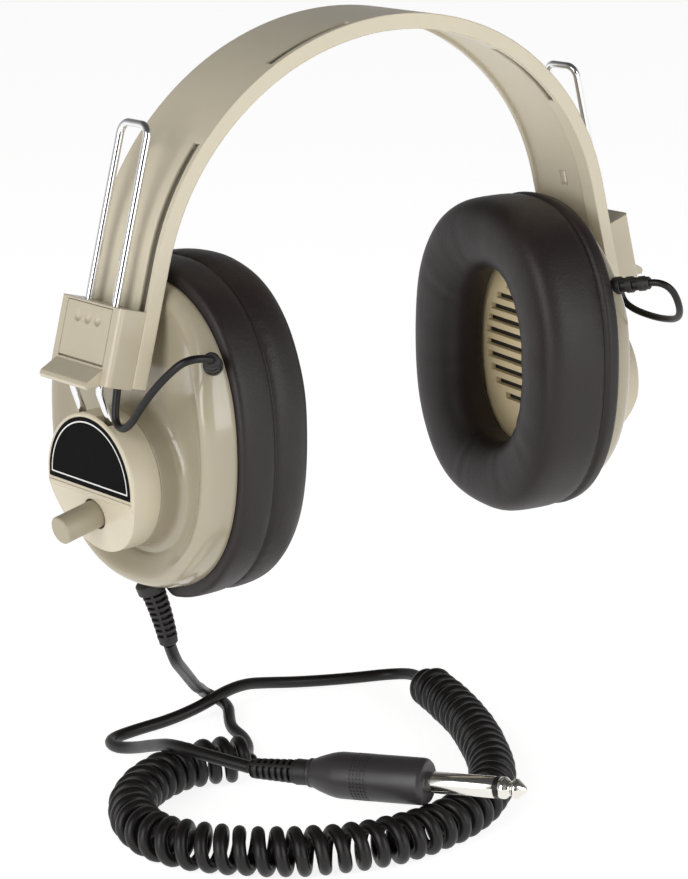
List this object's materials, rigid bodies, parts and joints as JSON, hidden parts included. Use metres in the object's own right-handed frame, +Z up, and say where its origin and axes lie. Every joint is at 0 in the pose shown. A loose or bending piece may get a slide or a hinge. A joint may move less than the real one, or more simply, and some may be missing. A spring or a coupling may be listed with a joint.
{
  "type": "headphones",
  "caption": "Wired over-ear headphones with a flat moulded headband, sliding wire yokes, oval padded cups, a volume knob and a coiled cord with a large plug.",
  "frame": {"origin": "centre of the underside of the headband crown, where a head or a hook carries the headphones", "axes": "+Z up, X from ear to ear with the left cup (knob and cord) at -X, -Y towards the front edge of the band"},
  "size_m": [0.2376, 0.1633, 0.2316],
  "materials": {
    "case_plastic": "satin beige moulding",
    "knob_plastic": "satin beige moulding",
    "wire_chrome": "bright plated spring wire",
    "cushion_vinyl": "dark brown-black vinyl",
    "screw_steel": "plated screw",
    "baffle_plastic": "satin beige moulding",
    "label_black": "black printed plate",
    "inner_plastic": "dark nylon",
    "spring_steel": "spring steel",
    "felt": "pressed felt",
    "driver_steel": "black painted steel",
    "magnet": "plated magnet pot",
    "cone": "treated paper",
    "pot_body": "dark moulded control",
    "shaft_metal": "turned",
    "cord_black": "black vinyl jacket, semi-gloss",
    "relief_rubber": "black moulded rubber",
    "plug_plastic": "black moulded plug body",
    "jack_metal": "nickel plated",
    "insulator": "black plastic"
  },
  "bodies": {
    "headband": {"headband": "case_plastic", "band_cable": "cord_black", "slider_housing_l": "case_plastic", "slider_housing_r": "case_plastic", "slider_plate_l": "case_plastic", "slider_plate_r": "case_plastic", "friction_springs": "spring_steel", "housing_screws": "screw_steel", "jumper_cable_l": "cord_black", "jumper_cable_r": "cord_black"},
    "left_yoke": {"wire_yoke_l": "wire_chrome"},
    "right_yoke": {"wire_yoke_r": "wire_chrome"},
    "left_cup": {"ear_shell_l": "case_plastic", "boss_cap_l": "case_plastic", "label_plate_l": "label_black", "pivot_bearing_l": "inner_plastic", "bearing_screws_l": "screw_steel", "ear_cushion_l": "cushion_vinyl", "baffle_l": "baffle_plastic", "baffle_screws_l": "screw_steel", "acoustic_felt_l": "felt", "driver_frame_l": "driver_steel", "driver_magnet_l": "magnet", "driver_cone_l": "cone", "jumper_relief_l": "relief_rubber", "pot_bracket": "inner_plastic", "volume_pot": "pot_body", "cord_relief": "relief_rubber", "cord_lead": "cord_black", "cord_coil": "cord_black", "cord_tail": "cord_black", "plug_relief": "relief_rubber", "plug_body": "plug_plastic", "jack_sleeve": "jack_metal", "jack_insulator": "insulator", "jack_tip": "jack_metal"},
    "right_cup": {"ear_shell_r": "case_plastic", "boss_cap_r": "case_plastic", "label_plate_r": "label_black", "pivot_bearing_r": "inner_plastic", "bearing_screws_r": "screw_steel", "ear_cushion_r": "cushion_vinyl", "baffle_r": "baffle_plastic", "baffle_screws_r": "screw_steel", "acoustic_felt_r": "felt", "driver_frame_r": "driver_steel", "driver_magnet_r": "magnet", "driver_cone_r": "cone", "jumper_relief_r": "relief_rubber"},
    "volume_knob": {"volume_knob": "knob_plastic", "pot_shaft": "shaft_metal"}
  },
  "joints": [
    {"name": "left_slider", "type": "slide", "parent": "headband", "child": "left_yoke", "axis": [-0.2661, 0, -0.964], "range_m": [0, 0.043], "deforming": ["jumper_cable_l"]},
    {"name": "right_slider", "type": "slide", "parent": "headband", "child": "right_yoke", "axis": [0.2661, 0, -0.964], "range_m": [0, 0.043], "deforming": ["jumper_cable_r"]},
    {"name": "left_cup_pivot", "type": "hinge", "parent": "left_yoke", "child": "left_cup", "pos_m": [-0.0998, 0, -0.114], "axis": [0, 1, 0], "range_deg": [0, 3]},
    {"name": "right_cup_pivot", "type": "hinge", "parent": "right_yoke", "child": "right_cup", "pos_m": [0.0998, 0, -0.1168], "axis": [-0.1736, -0.9848, 0], "range_deg": [0, 3]},
    {"name": "volume_turn", "type": "hinge", "parent": "left_cup", "child": "volume_knob", "pos_m": [-0.1052, 0, -0.133], "axis": [-0.9795, 0, -0.2015], "range_deg": [-150, 150]}
  ]
}
